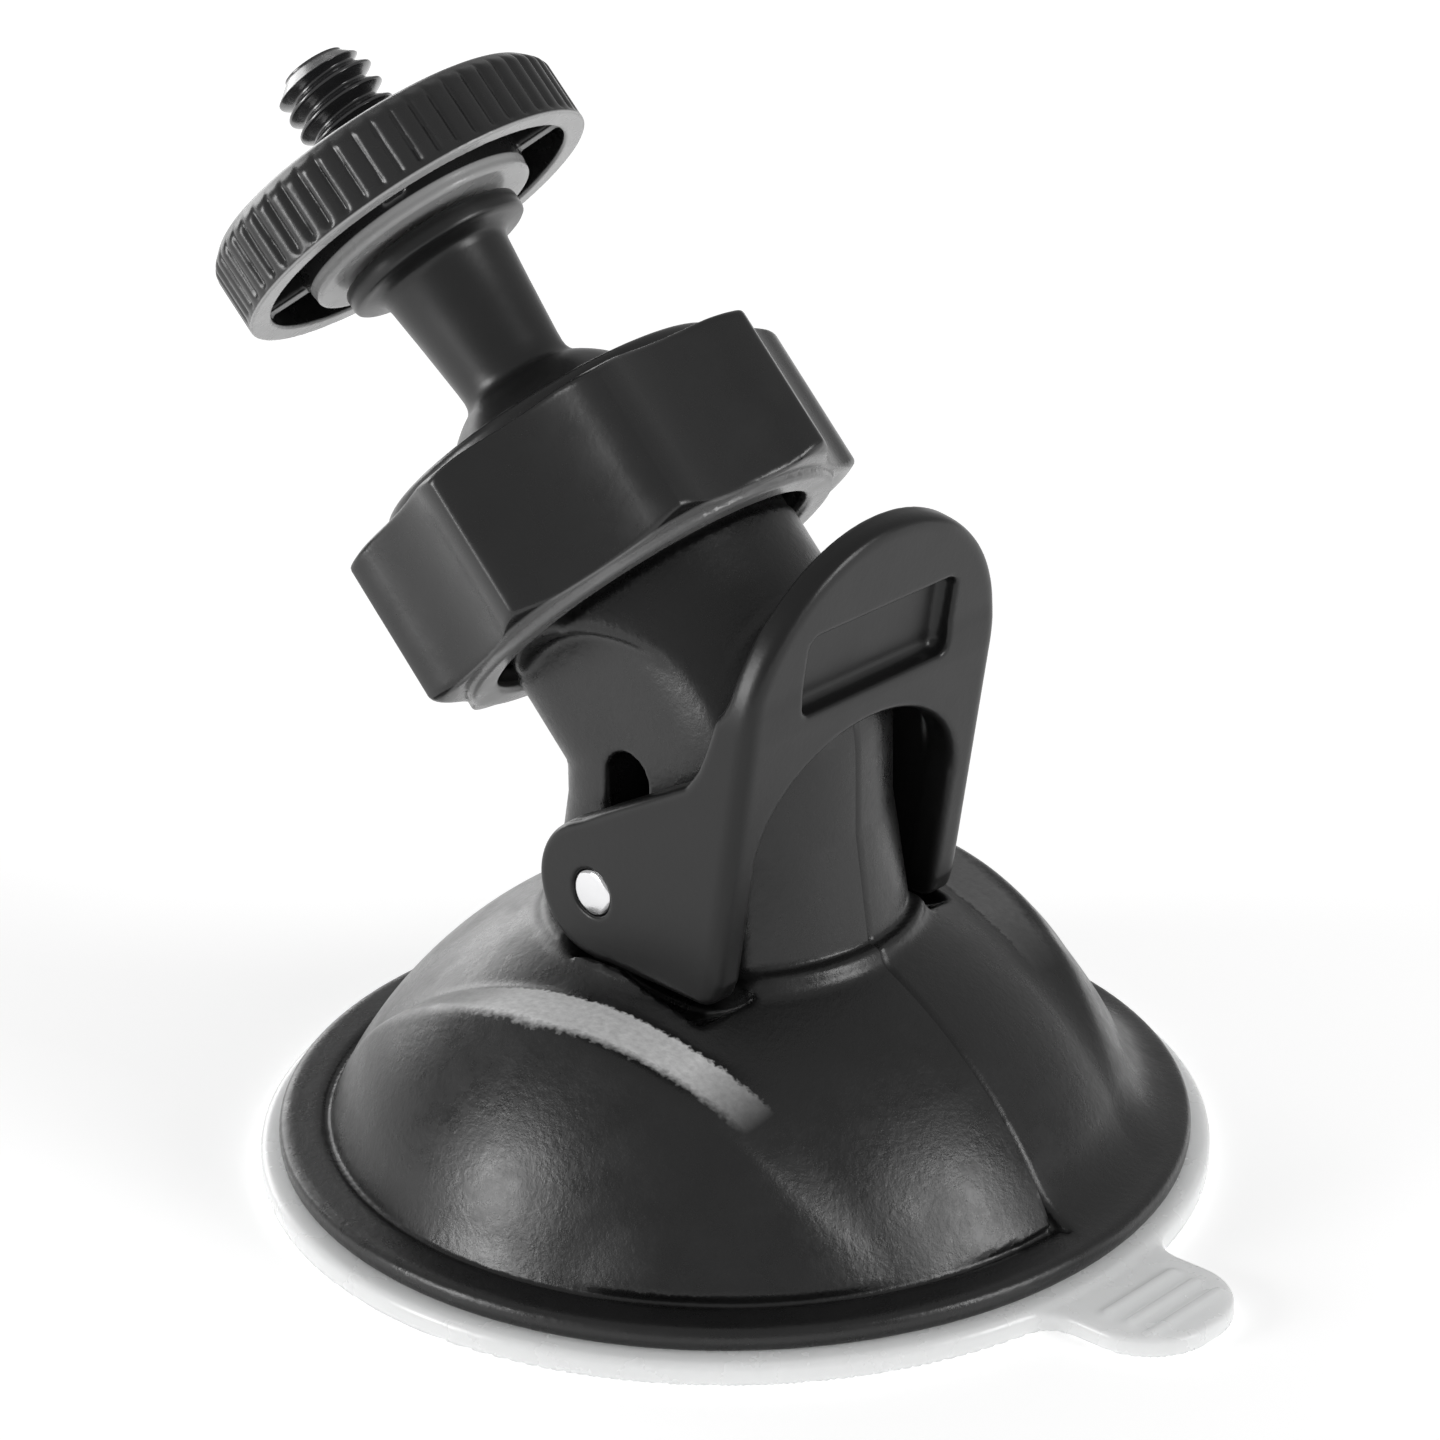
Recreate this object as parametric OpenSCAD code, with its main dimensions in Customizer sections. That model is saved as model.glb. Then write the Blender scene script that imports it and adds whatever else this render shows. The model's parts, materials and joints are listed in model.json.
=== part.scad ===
// Suction-cup dash mount with a locking ball joint and a camera screw.
// Origin: centre of the sealing face on the dashboard or windscreen. +Z is up, away from that face.
// +X points to the side with the lever handle and the pull tab. Sizes are millimetres.

/* [Suction pad] */
// Diameter of the soft sealing pad
pad_d = 60; // [59:0.5:64]
// Thickness of the pad at its rim
pad_rim_t = 1.4; // [1.2:0.1:1.6]
// Thickness of the pad under the housing
pad_mid_t = 3; // [2.6:0.1:3.4]
// How far the pull tab reaches from the middle of the pad
tab_reach = 38; // [34:1:42]
// Width of the pull tab
tab_w = 10; // [8:0.5:12]

/* [Housing] */
// Diameter of the flange that presses on the pad
flange_d = 57.7; // [56:0.1:58]
// Thickness of the flange
flange_t = 1.55; // [1.2:0.05:2]
// Diameter of the dome where it meets the flange
dome_d = 51; // [50:0.5:52]
// Height of the dome above the flange's underside, as if it had no neck
dome_h = 17.6; // [17.2:0.1:17.8]
// Diameter of the neck at its root
neck_root_d = 22; // [21.6:0.1:22.4]
// Diameter of the neck below the ball joint
neck_d = 20; // [19.8:0.1:20.2]
// Height at which the neck bends
bend_z = 29.5; // [29:0.1:30]
// Lean of the ball joint's axis towards -X
neck_lean = 44; // [40:1:48]
// Distance from the bend to the middle of the ball
bend_to_ball = 17.4; // [17:0.1:18]
// Distance between the two flats beside the lever
flats_w = 16; // [15.6:0.1:16.2]

/* [Lever] */
// Diameter of the hinge pin
pin_d = 3; // [2.8:0.1:3]
// Position of the hinge pin along X
pin_x = -1.2; // [-1.4:0.1:-1]
// Height of the hinge pin with the lever up
pin_z = 21.1; // [21:0.1:21.4]
// Width over the two cheeks
lever_w = 22.6; // [22:0.1:23]
// Thickness of the cheeks and of the handle
lever_t = 2.4; // [2:0.1:2.6]
// Lean of the handle away from the neck
handle_lean = 10; // [9:1:12]
// Length of the handle along its face
handle_len = 28.3; // [27:0.1:30]

/* [Ball joint] */
// Diameter of the ball
ball_d = 16; // [15.8:0.1:16.2]
// Number of flat faces on the locking ring
ring_sides = 8; // [6:1:10]
// Diameter of the locking ring over its corners
ring_d = 31.2; // [30:0.1:33]
// Lean of the ball stud
stud_lean = 43.8; // [40:0.1:48]
// Sideways turn of the ball stud
stud_turn = 3; // [0:0.5:6]

/* [Camera screw] */
// Outside diameter of the camera thread, a quarter inch
screw_d = 6.35; // [6.35]
// Length of thread that stands above the thumbwheel
screw_reach = 7; // [5.5:0.1:8]
// Diameter of the thumbwheel
wheel_d = 24.6; // [24:0.1:26]
// Number of grip ribs on the thumbwheel
wheel_ribs = 56; // [40:2:64]

/* [Hidden] */
$fn = 96;

black = [0.09, 0.09, 0.09];
run_gap = 0.05;   // radial play of a running fit
big = 60;         // longer than any piece that a cutter passes through

// suction pad
pad_r = pad_d / 2;
pad_thin_r = 22;              // the pad thickens inwards from here
tab_tip_r = 4;
core_r = 11;
core_z = pad_mid_t;
core_t = 2.4;
core_boss_r = 7.5;

// drawing gear inside the housing
shaft_r = 4;
shaft_z = core_z + 1;
shaft_top_z = 27;
lift = 5;                     // travel of the shaft from lever up to lever down
spring_wire_r = 0.4;
spring_r = 5.3;
spring_turns = 4;
spring_low_z = core_z + core_t;
spring_top_z = 16.5;

// housing
flange_z = pad_rim_t;
flange_r = flange_d / 2;
dome_r = dome_d / 2;
dome_low_z = flange_z + flange_t;
dome_rise = dome_h - flange_t;
dome_ball_r = (pow(dome_r, 2) + pow(dome_rise, 2)) / (2 * dome_rise);
dome_ball_z = flange_z + dome_h - dome_ball_r;
wall = 1.8;
inner_ceiling_z = 12.6;
spring_well_r = 6.3;
neck_r = neck_d / 2;
neck_root_z = 12.5;
ledge_z = 17.3;               // top of the collar at the neck's root
bend_low_z = bend_z - 5;
pocket_out = 11.75;           // pockets in the dome that the lever's cheeks swing through
pocket_floor_z = 13.7;
apron_x = 1.3;                // arched aprons on the two sides of the dome
apron_arch_r = 24.8;
apron_in = 13.3;
apron_ball_r = 26.14;
apron_ball_z = -3.5;
flat_arch_x = -2.2;
flat_arch_z = 28.5;
flat_arch_r = 8.2;
slot_w = 3.4;
slot_top_z = 29.2;

// lever
cheek_proud = 0.05;          // the cheeks stand this far proud of the handle's edge
cheek_out = lever_w / 2;
cheek_in = cheek_out - lever_t;
cheek_r = 4.5;
cheek_gap = 0.4;              // between a cheek and the dome
cheek_base_z = 16.4;
cheek_corner_x = 8.8;
handle_x = 9;
handle_z = 17.5;
window_straight = 8;
window_arch_h = 7.2;
relief_top_z = 34;
badge_w = 13.2;
badge_h = 5.3;
badge_mid = 20.15;
badge_depth = 1.1;
badge_corner_r = 0.8;

// ball joint, in distances along its own axis from the middle of the ball
ball_r = ball_d / 2;
socket_r = ball_r + run_gap;
head_r = neck_r - 0.15;
finger_root = -8.6;
finger_top = 2.4;
finger_slots = 6;
finger_slot_w = 1.2;
seat_r = 6.5;
seat_base = -9.6;
seat_top = -5;
thread_low = -6.9;
thread_pitch = 1.5;
thread_turns = 3;
ring_low = -8;
ring_high = 2.6;
ring_rim_high = 3.7;
ring_rim_r = 12;
ring_mouth_r = 8.5;
ring_face_r = 13.5;           // to the middle of a face
ring_face_cut_r = 18;         // the faces are hollow
ring_bevel = [1.2, 0.5];      // across and along, at the corners
ring_corner_turn = 17;        // angle of one corner about the ring's axis

// ball stud, screw and thumbwheel, in distances along the stud's axis
stem_low_r = 3.6;
stem_high_r = 4.45;
stem_high = 16;
collar_r = 6.2;
collar_low = 16.2;
collar_high = 17.6;
shank_r = 2.4;
shank_low = 9;
screw_r = screw_d / 2;
screw_neck_r = 2.6;           // where the thumbwheel holds it
wheel_r = wheel_d / 2;
wheel_hub_r = 7.77;
wheel_hub_low = 18.05;
wheel_low = 18.8;
wheel_web_low = 22.4;
wheel_edge = 23.3;
wheel_top = 24.1;
wheel_rim_t = 1.3;
wheel_spoke_w = 1.6;
screw_tip = wheel_top + screw_reach;

// ---- placing ----

module at_ball() {
    translate([-bend_to_ball * sin(neck_lean), 0, bend_z + bend_to_ball * cos(neck_lean)]) children();
}

module on_ring_axis() {
    at_ball() rotate([0, -neck_lean, 0]) children();
}

module on_stud_axis() {
    at_ball() rotate([0, -stud_lean, stud_turn]) children();
}

// copies on both sides of the middle plane
module both_sides() {
    children();
    mirror([0, 1, 0]) children();
}

// a vertical outline in X and Z, extruded along Y from y_in to y_out
module side_plate(y_in, y_out) {
    translate([0, y_out, 0]) rotate([90, 0, 0]) linear_extrude(y_out - y_in) children();
}

// points on an arc with separate radii across and up
function arc(cx, cy, rx, ry, from, to, steps) =
    [for (i = [0 : steps]) let (a = from + (to - from) * i / steps) [cx + rx * cos(a), cy + ry * sin(a)]];

// ---- suction pad ----

module suction_pad() {
    tab_mid = tab_reach - tab_tip_r;
    color([0.86, 0.87, 0.87]) {
        rotate_extrude() polygon([
            [0, 0], [pad_r, 0], [pad_r, pad_rim_t - 0.3], [pad_r - 0.3, pad_rim_t],
            [pad_thin_r, pad_rim_t], [core_r + 1, pad_mid_t], [0, pad_mid_t]]);
        difference() {
            linear_extrude(pad_rim_t - 0.2) union() {
                translate([pad_r - 2, -tab_w / 2]) square([tab_mid - pad_r + 3, tab_w]);
                translate([tab_mid, 1]) circle(tab_tip_r);
                translate([tab_mid, -1]) circle(tab_tip_r);
            }
            cylinder(r = pad_r - 1, h = big, center = true);
        }
        for (i = [0 : 2])
            translate([pad_r + 2.6 + 1.7 * i, 0, pad_rim_t - 0.2])
                rotate([90, 0, 0]) cylinder(r = 0.35, h = tab_w - 3.4, center = true, $fn = 24);
    }
}

module pad_core() {
    color([0.2, 0.2, 0.2]) difference() {
        union() {
            translate([0, 0, core_z]) cylinder(r = core_r, h = core_t - 1);
            translate([pin_x, 0, core_z]) cylinder(r = core_boss_r, h = core_t);
        }
        translate([pin_x, 0, shaft_z]) cylinder(r = shaft_r, h = big);
    }
}

// ---- drawing gear ----

module draw_shaft() {
    color([0.25, 0.25, 0.25]) difference() {
        translate([pin_x, 0, shaft_z]) cylinder(r = shaft_r, h = shaft_top_z - shaft_z);
        translate([pin_x, 0, pin_z]) rotate([90, 0, 0]) cylinder(d = pin_d, h = big, center = true);
    }
}

// one ring of a round wire coiled about the Z axis, at turn angle a and height z
function wire_ring(a, z, sides) =
    [for (k = [0 : sides - 1]) let (b = 360 * k / sides, r = spring_r + spring_wire_r * cos(b))
        [r * cos(a), r * sin(a), z + spring_wire_r * sin(b)]];

module return_spring() {
    sides = 6;
    steps = 24 * spring_turns;
    low = spring_low_z + spring_wire_r + 0.05;
    high = spring_top_z - spring_wire_r - 0.05;
    points = [for (i = [0 : steps]) each wire_ring(360 * spring_turns * i / steps,
                                                   low + (high - low) * i / steps, sides)];
    walls = [for (i = [0 : steps - 1], k = [0 : sides - 1]) let (n = (k + 1) % sides)
        [i * sides + k, (i + 1) * sides + k, (i + 1) * sides + n, i * sides + n]];
    first_end = [for (k = [0 : sides - 1]) k];
    last_end = [for (k = [sides - 1 : -1 : 0]) steps * sides + k];
    color("silver") translate([pin_x, 0, 0]) polyhedron(points, concat([first_end], walls, [last_end]));
}

module pivot_pin() {
    color("silver") translate([pin_x, 0, pin_z]) rotate([90, 0, 0])
        cylinder(d = pin_d, h = lever_w + 2 * cheek_proud, center = true);
}

// ---- housing ----

// cap of a ball of radius r whose middle is at height z
module ball_cap(r, z) {
    rotate_extrude() polygon(concat([[0, 0]], arc(0, z, r, r, asin(-z / r), 90, 24)));
}

module dome_outside() {
    difference() {
        union() {
            ball_cap(dome_ball_r, dome_ball_z);
            // arched aprons: a level barrel along Y, closed by a steeper cap
            intersection() {
                translate([apron_x, 0, dome_ball_z]) rotate([90, 0, 0])
                    cylinder(r = apron_arch_r, h = big, center = true);
                ball_cap(apron_ball_r, apron_ball_z);
                both_sides() translate([-big / 2, apron_in, 0.5]) cube(big);
            }
        }
        cylinder(r = big, h = 2 * dome_low_z - 1, center = true);
    }
    translate([0, 0, flange_z]) rotate_extrude() polygon(concat(
        [[0, 0], [flange_r - 0.3, 0]],
        arc(flange_r - 0.5, flange_t - 0.5, 0.5, 0.5, 0, 90, 6), [[0, flange_t]]));
}

// the half of space over the mitre plane of the neck's bend
module above_mitre() {
    translate([0, 0, bend_z]) rotate([0, -neck_lean / 2, 0]) translate([-big / 2, -big / 2, 0]) cube(big);
}

module neck_outside() {
    rotate_extrude() polygon([
        [0, neck_root_z], [neck_root_d / 2 + 1, neck_root_z], [neck_root_d / 2 + 1, ledge_z - 0.2],
        [neck_root_d / 2, ledge_z + 0.2], [neck_r, bend_low_z], [0, bend_low_z]]);
    // upright and leaning parts meet at a mitre
    difference() {
        translate([0, 0, bend_low_z]) cylinder(r = neck_r, h = neck_r);
        above_mitre();
    }
    intersection() {
        on_ring_axis() translate([0, 0, -bend_to_ball - neck_r])
            cylinder(r = neck_r, h = bend_to_ball + neck_r + finger_root);
        above_mitre();
    }
}

// the neck's head: thread ridges and the split fingers that hold the ball
module neck_head() {
    difference() {
        rotate_extrude() union() {
            polygon([[0, finger_root - 2], [head_r, finger_root - 2], [head_r, -1.8],
                     [head_r - 0.5, finger_top], [0, finger_top]]);
            for (i = [0 : thread_turns - 1])
                translate([head_r - 0.2, thread_low + thread_pitch * i]) square([1.1, 0.55]);
        }
        rotate([0, 0, 180 / finger_slots]) for (i = [0 : finger_slots - 1])
            rotate([0, 0, 360 * i / finger_slots]) translate([4, -finger_slot_w / 2, -2])
                cube([neck_r, finger_slot_w, finger_top + 3]);
        rotate_extrude() polygon(concat([[0, -socket_r]], arc(0, 0, socket_r, socket_r, -90, 90, 40)));
        translate([0, 0, seat_base - run_gap]) cylinder(r = seat_r + run_gap, h = -seat_base);
    }
}

// everything outside the flats beside the lever, in the neck and in the dome
module cheek_room() {
    both_sides() {
        side_plate(flats_w / 2, big) union() {
            translate([flat_arch_x, flat_arch_z]) circle(flat_arch_r);
            translate([-neck_root_d, ledge_z]) square([neck_root_d * 2, flat_arch_z - ledge_z]);
        }
        side_plate(flats_w / 2, pocket_out) union() {
            // a little outside the path of the cheek's lower corner
            polygon([[-2.6, 14.8], [-0.6, 13.95], [1.6, pocket_floor_z], [3.6, pocket_floor_z - 0.05],
                     [5.4, 13.85], [7, 14.5], [8.3, 15.3], [9.2, 16.1], [9.7, 17.2], [9.9, 19.5], [-2.6, 19.5]]);
            translate([pin_x, pin_z]) circle(cheek_r + cheek_gap);
        }
    }
}

// round hole for the shaft with the spring's well under it, and the slot for the hinge pin
module shaft_room() {
    translate([pin_x, 0, 0]) {
        cylinder(r = shaft_r + run_gap, h = shaft_top_z + lift + 0.4);
        cylinder(r = spring_well_r, h = spring_top_z);
    }
    rotate([90, 0, 0]) translate([pin_x, 0, -flats_w]) linear_extrude(2 * flats_w) union() {
        translate([0, slot_top_z - slot_w / 2]) circle(d = slot_w);
        translate([0, pin_z]) circle(d = slot_w);
        translate([-slot_w / 2, pin_z]) square([slot_w, slot_top_z - slot_w / 2 - pin_z]);
    }
}

module base_housing() {
    color(black) {
        difference() {
            union() {
                dome_outside();
                neck_outside();
            }
            cheek_room();
            shaft_room();
            intersection() {
                ball_cap(dome_ball_r - wall, dome_ball_z);
                cylinder(r = big, h = 2 * inner_ceiling_z, center = true);
            }
            on_ring_axis() translate([0, 0, seat_base - run_gap]) cylinder(r = seat_r + run_gap, h = -seat_base);
        }
        on_ring_axis() neck_head();
    }
}

// ---- lever ----

// outline of a cheek, seen along Y
module cheek_outline() {
    difference() {
        union() {
            translate([pin_x, pin_z]) circle(cheek_r);
            translate([cheek_corner_x - 1.1, cheek_base_z + 1]) circle(1);
            polygon([[pin_x, cheek_base_z + 0.2], [cheek_corner_x - 1.1, cheek_base_z],
                     [cheek_corner_x, handle_z - 0.3], [8.95, 17.8], [10.6, 35.6], [8.8, 33.6],
                     [8.2, 32.2], [7.4, 31.1], [6.6, 30.4], [-0.4, 26.6], [pin_x - 2.1, 25]]);
        }
        translate([pin_x, pin_z]) circle(d = pin_d + 2 * run_gap);
    }
}

// outline of the handle in its own plane: Y across, X along its length from the lower edge
module handle_outline() {
    round_at = handle_len - cheek_out;
    difference() {
        union() {
            translate([0, -cheek_out]) square([round_at, lever_w]);
            translate([round_at, 0]) circle(cheek_out);
        }
        polygon(concat([[-1, cheek_in]],
                       [for (p = arc(0, window_straight, cheek_in, window_arch_h, 0, 180, 32)) [p[1], p[0]]],
                       [[-1, -cheek_in]]));
    }
}

// rectangle with true round corners, in Y and along the handle
module badge_outline() {
    along = badge_h / 2 - badge_corner_r;
    across = badge_w / 2 - badge_corner_r;
    square([badge_h, 2 * across], center = true);
    square([2 * along, badge_w], center = true);
    for (i = [-1, 1], j = [-1, 1]) translate([i * along, j * across]) circle(badge_corner_r, $fn = 32);
}

module lever() {
    color(black) {
        both_sides() side_plate(cheek_in + cheek_proud, cheek_out + cheek_proud) cheek_outline();
        // the handle's outline lies in X and Y, so it is stood up before it leans
        difference() {
            translate([handle_x, 0, handle_z]) rotate([0, handle_lean - 90, 0]) difference() {
                linear_extrude(lever_t) handle_outline();
                translate([badge_mid, 0, -1]) linear_extrude(badge_depth + 1) badge_outline();
            }
            // room for the neck over the window
            translate([0, 0, cheek_base_z]) cylinder(r = neck_r + cheek_gap, h = relief_top_z - cheek_base_z);
        }
    }
}

// ---- ball joint ----

module ball_seat() {
    color([0.3, 0.3, 0.3]) on_ring_axis() difference() {
        translate([0, 0, seat_base]) cylinder(r = seat_r, h = seat_top - seat_base);
        rotate_extrude() polygon(concat([[0, -socket_r]], arc(0, 0, socket_r, socket_r, -90, 90, 40)));
    }
}

module locking_ring() {
    ring_r = ring_d / 2;
    color(black) on_ring_axis() difference() {
        union() {
            difference() {
                rotate_extrude() polygon([
                    [0, ring_low], [ring_r - ring_bevel[0], ring_low], [ring_r, ring_low + ring_bevel[1]],
                    [ring_r, ring_high - ring_bevel[1]], [ring_r - ring_bevel[0], ring_high], [0, ring_high]]);
                rotate([0, 0, ring_corner_turn + 180 / ring_sides])
                    for (i = [0 : ring_sides - 1]) rotate([0, 0, 360 * i / ring_sides])
                        translate([ring_face_r + ring_face_cut_r, 0, 0])
                            cylinder(r = ring_face_cut_r, h = big, center = true, $fn = 240);
            }
            translate([0, 0, ring_low]) cylinder(r = ring_rim_r, h = ring_rim_high - ring_low);
            translate([0, 0, ring_low - 0.5]) cylinder(r = ring_face_r - 0.4, h = 1);
        }
        rotate_extrude() union() {
            polygon([[0, ring_low - 1], [neck_r + 1.1, ring_low - 1], [neck_r + 1.1, -2.2],
                     [neck_r + 0.5, -1.8], [neck_r - 0.1, finger_top + 0.4],
                     [ring_mouth_r, finger_top + 0.5], [ring_mouth_r, big], [0, big]]);
        }
    }
    color(black) on_ring_axis() for (i = [0 : thread_turns - 1])
        translate([0, 0, thread_low + 0.85 + thread_pitch * i]) difference() {
            cylinder(r = neck_r + 1.3, h = 0.35);
            translate([0, 0, -1]) cylinder(r = neck_r + 0.35, h = 3);
        }
}

module ball_stud() {
    color(black) on_stud_axis() difference() {
        rotate_extrude() polygon(concat(
            [[0, -ball_r]], arc(0, 0, ball_r, ball_r, -90, acos(stem_low_r / ball_r), 40),
            [[stem_low_r, 7.6], [stem_high_r, stem_high], [collar_r - 0.6, collar_low],
             [collar_r, collar_low + 0.4], [collar_r, collar_high - 0.4], [collar_r - 0.5, collar_high],
             [0, collar_high]]));
        translate([0, 0, shank_low]) cylinder(r = shank_r, h = big);
        translate([0, 0, stem_high - 1]) cylinder(r = screw_neck_r, h = big);
    }
}

// ---- camera screw and thumbwheel ----

module camera_screw() {
    color([0.12, 0.12, 0.12]) on_stud_axis() {
        translate([0, 0, shank_low]) cylinder(r = shank_r, h = stem_high - shank_low);
        translate([0, 0, stem_high - 1]) cylinder(r = screw_neck_r, h = wheel_top + 1.2 - stem_high);
        translate([0, 0, wheel_top + 0.2]) cylinder(r = screw_r, h = screw_reach - 1.2);
        translate([0, 0, screw_tip - 1]) cylinder(r1 = screw_r, r2 = 2.2, h = 1);
    }
}

// ribbed outline of the wheel's rim
module wheel_outline(depth) {
    polygon([for (i = [0 : 4 * wheel_ribs - 1])
        let (a = 90 * i / wheel_ribs, r = wheel_r - (i % 4 < 2 ? 0 : depth)) [r * cos(a), r * sin(a)]]);
}

module thumbwheel() {
    color(black) on_stud_axis() difference() {
        union() {
            translate([0, 0, wheel_low]) linear_extrude(wheel_edge - wheel_low) wheel_outline(0.35);
            translate([0, 0, wheel_edge]) cylinder(r1 = wheel_r - 0.4, r2 = wheel_r - 1.1, h = wheel_top - wheel_edge);
            translate([0, 0, wheel_hub_low]) cylinder(r = wheel_hub_r, h = wheel_top - wheel_hub_low);
        }
        translate([0, 0, wheel_hub_low - 1]) cylinder(r = screw_neck_r + run_gap, h = big);
        difference() {
            translate([0, 0, wheel_hub_low - 1])
                cylinder(r = wheel_r - wheel_rim_t, h = wheel_web_low - wheel_hub_low + 1);
            cylinder(r = wheel_hub_r, h = big);
            for (a = [45, 135]) rotate([0, 0, a])
                translate([-wheel_r, -wheel_spoke_w / 2, wheel_low + 0.6]) cube([wheel_d, wheel_spoke_w, big]);
        }
    }
}

suction_pad();
pad_core();
draw_shaft();
return_spring();
base_housing();
lever();
pivot_pin();
ball_seat();
locking_ring();
ball_stud();
camera_screw();
thumbwheel();
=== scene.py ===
import json
import math

import bmesh
import bpy
import numpy as np
from mathutils import Matrix, Vector


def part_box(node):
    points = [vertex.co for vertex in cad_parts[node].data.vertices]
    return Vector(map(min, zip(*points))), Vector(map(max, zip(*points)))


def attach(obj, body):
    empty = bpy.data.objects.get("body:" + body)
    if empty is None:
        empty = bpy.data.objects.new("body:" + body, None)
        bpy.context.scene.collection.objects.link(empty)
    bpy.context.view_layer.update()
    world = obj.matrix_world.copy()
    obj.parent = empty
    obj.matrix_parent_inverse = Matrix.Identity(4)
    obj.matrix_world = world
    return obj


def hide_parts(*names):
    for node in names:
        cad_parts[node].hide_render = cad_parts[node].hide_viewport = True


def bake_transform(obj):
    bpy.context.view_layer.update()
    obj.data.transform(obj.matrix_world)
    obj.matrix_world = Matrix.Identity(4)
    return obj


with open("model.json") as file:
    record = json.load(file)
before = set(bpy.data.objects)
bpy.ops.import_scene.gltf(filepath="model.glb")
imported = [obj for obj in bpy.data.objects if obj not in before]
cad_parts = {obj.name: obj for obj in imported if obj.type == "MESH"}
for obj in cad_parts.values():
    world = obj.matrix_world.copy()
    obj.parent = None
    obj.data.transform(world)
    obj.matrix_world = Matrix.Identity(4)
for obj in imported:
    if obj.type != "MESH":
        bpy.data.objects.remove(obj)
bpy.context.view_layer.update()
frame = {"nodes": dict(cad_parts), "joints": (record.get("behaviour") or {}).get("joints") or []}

MM = 0.001
JOINTS = {j["name"]: j for j in frame["joints"]}


# ---------------------------------------------------------------- places from the frame, in mm

def joint_place(name):
    joint = JOINTS[name]
    return np.array(joint["pos_m"]) / MM, np.array(joint["axis"], float)


def corners(node):
    low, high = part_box(node)
    return np.array(low) / MM, np.array(high) / MM


BALL, NECK_AXIS = joint_place("ring_turn")
STUD_AXIS = joint_place("wheel_turn")[1]
PIN_X, _, PIN_Z = joint_place("lever_swing")[0]
PAD_LOW, PAD_HIGH = corners("suction_pad")
HOUSING_LOW, HOUSING_HIGH = corners("base_housing")
LEVER_LOW, LEVER_HIGH = corners("lever")
SPRING_LOW, SPRING_HIGH = corners("return_spring")

NECK_LEAN = math.asin(-NECK_AXIS[0])
BEND_Z = BALL[2] + BALL[0] / math.tan(NECK_LEAN)  # where the neck's two centrelines meet


# ---------------------------------------------------------------- distance fields and their blends

def soft_min(a, b, k):
    """The nearer of two shapes, with a fillet about k wide where they meet."""
    h = np.maximum(k - np.abs(a - b), 0) / k
    return np.minimum(a, b) - h * h * k * 0.25


def soft_max(a, b, k):
    """What two shapes share, with an edge rounded over about k where they meet."""
    return -soft_min(-a, -b, k)


def slab(v, low, high, k):
    """Between two values, with rounded edges when joined to others."""
    return soft_max(low - v, v - high, k)


def box2(u, v, half_u, half_v, corner):
    """Signed distance to a rectangle with round corners."""
    du, dv = np.abs(u) - half_u + corner, np.abs(v) - half_v + corner
    outside = np.hypot(np.maximum(du, 0), np.maximum(dv, 0))
    return outside + np.minimum(np.maximum(du, dv), 0) - corner


def polygon2(u, v, points):
    """Signed distance to a closed polygon."""
    points = [np.array(p, float) for p in points]
    best = np.full(u.shape, 1e9)
    inside = np.zeros(u.shape, bool)
    for a, b in zip(points, points[1:] + points[:1]):
        e = b - a
        wu, wv = u - a[0], v - a[1]
        t = np.clip((wu * e[0] + wv * e[1]) / (e @ e), 0, 1)
        best = np.minimum(best, (wu - e[0] * t) ** 2 + (wv - e[1] * t) ** 2)
        crosses = (a[1] > v) != (b[1] > v)
        if e[1]:
            inside ^= crosses & (u < a[0] + e[0] * (v - a[1]) / e[1])
    return np.where(inside, -1, 1) * np.sqrt(best)


def across_of(axis):
    """Two directions square to an axis and to each other, the first in the plane Y = 0."""
    across = np.cross(axis, [0, 1, 0])
    across /= np.linalg.norm(across)
    return across, np.cross(axis, across)


def about(p, axis):
    """Distance along an axis through the ball's middle, out from it, and the two ways across it."""
    q = [p[i] - BALL[i] for i in range(3)]
    s, u, v = (q[0] * d[0] + q[1] * d[1] + q[2] * d[2] for d in (axis, *across_of(axis)))
    out = np.sqrt(np.maximum(q[0] ** 2 + q[1] ** 2 + q[2] ** 2 - s * s, 0))
    return s, out, u, v


def round_ball(x, y, z, middle_z, radius):
    """Distance to a ball on the upright middle line."""
    return np.sqrt(x * x + y * y + (z - middle_z) ** 2) - radius


def step_up(v, low, high):
    """0 below low, 1 above high, smooth between."""
    t = np.clip((v - low) / (high - low), 0, 1)
    return t * t * (3 - 2 * t)


# ---------------------------------------------------------------- mesh of a distance field

CUBE = np.array([[i >> 2 & 1, i >> 1 & 1, i & 1] for i in range(8)])
EDGES = [(a, b) for a in range(8) for b in range(a + 1, 8) if np.abs(CUBE[a] - CUBE[b]).sum() == 1]
WAYS = np.eye(3, dtype=int)
BLOCK = 20            # cells along each side of a block of the grid
GRID_SHIFT = 1.37     # keeps the grid off the planes of the shapes, in cells
REACH_SPARE = 1.25    # a field may be that much steeper than a true distance
FIT_ROUNDS = 3        # times each point is moved onto the surface
LEAST_SLOPE = 0.2     # of the squared slope, so that a flat spot doesn't throw a point away
SLOPE_STEP = 0.01


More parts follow.
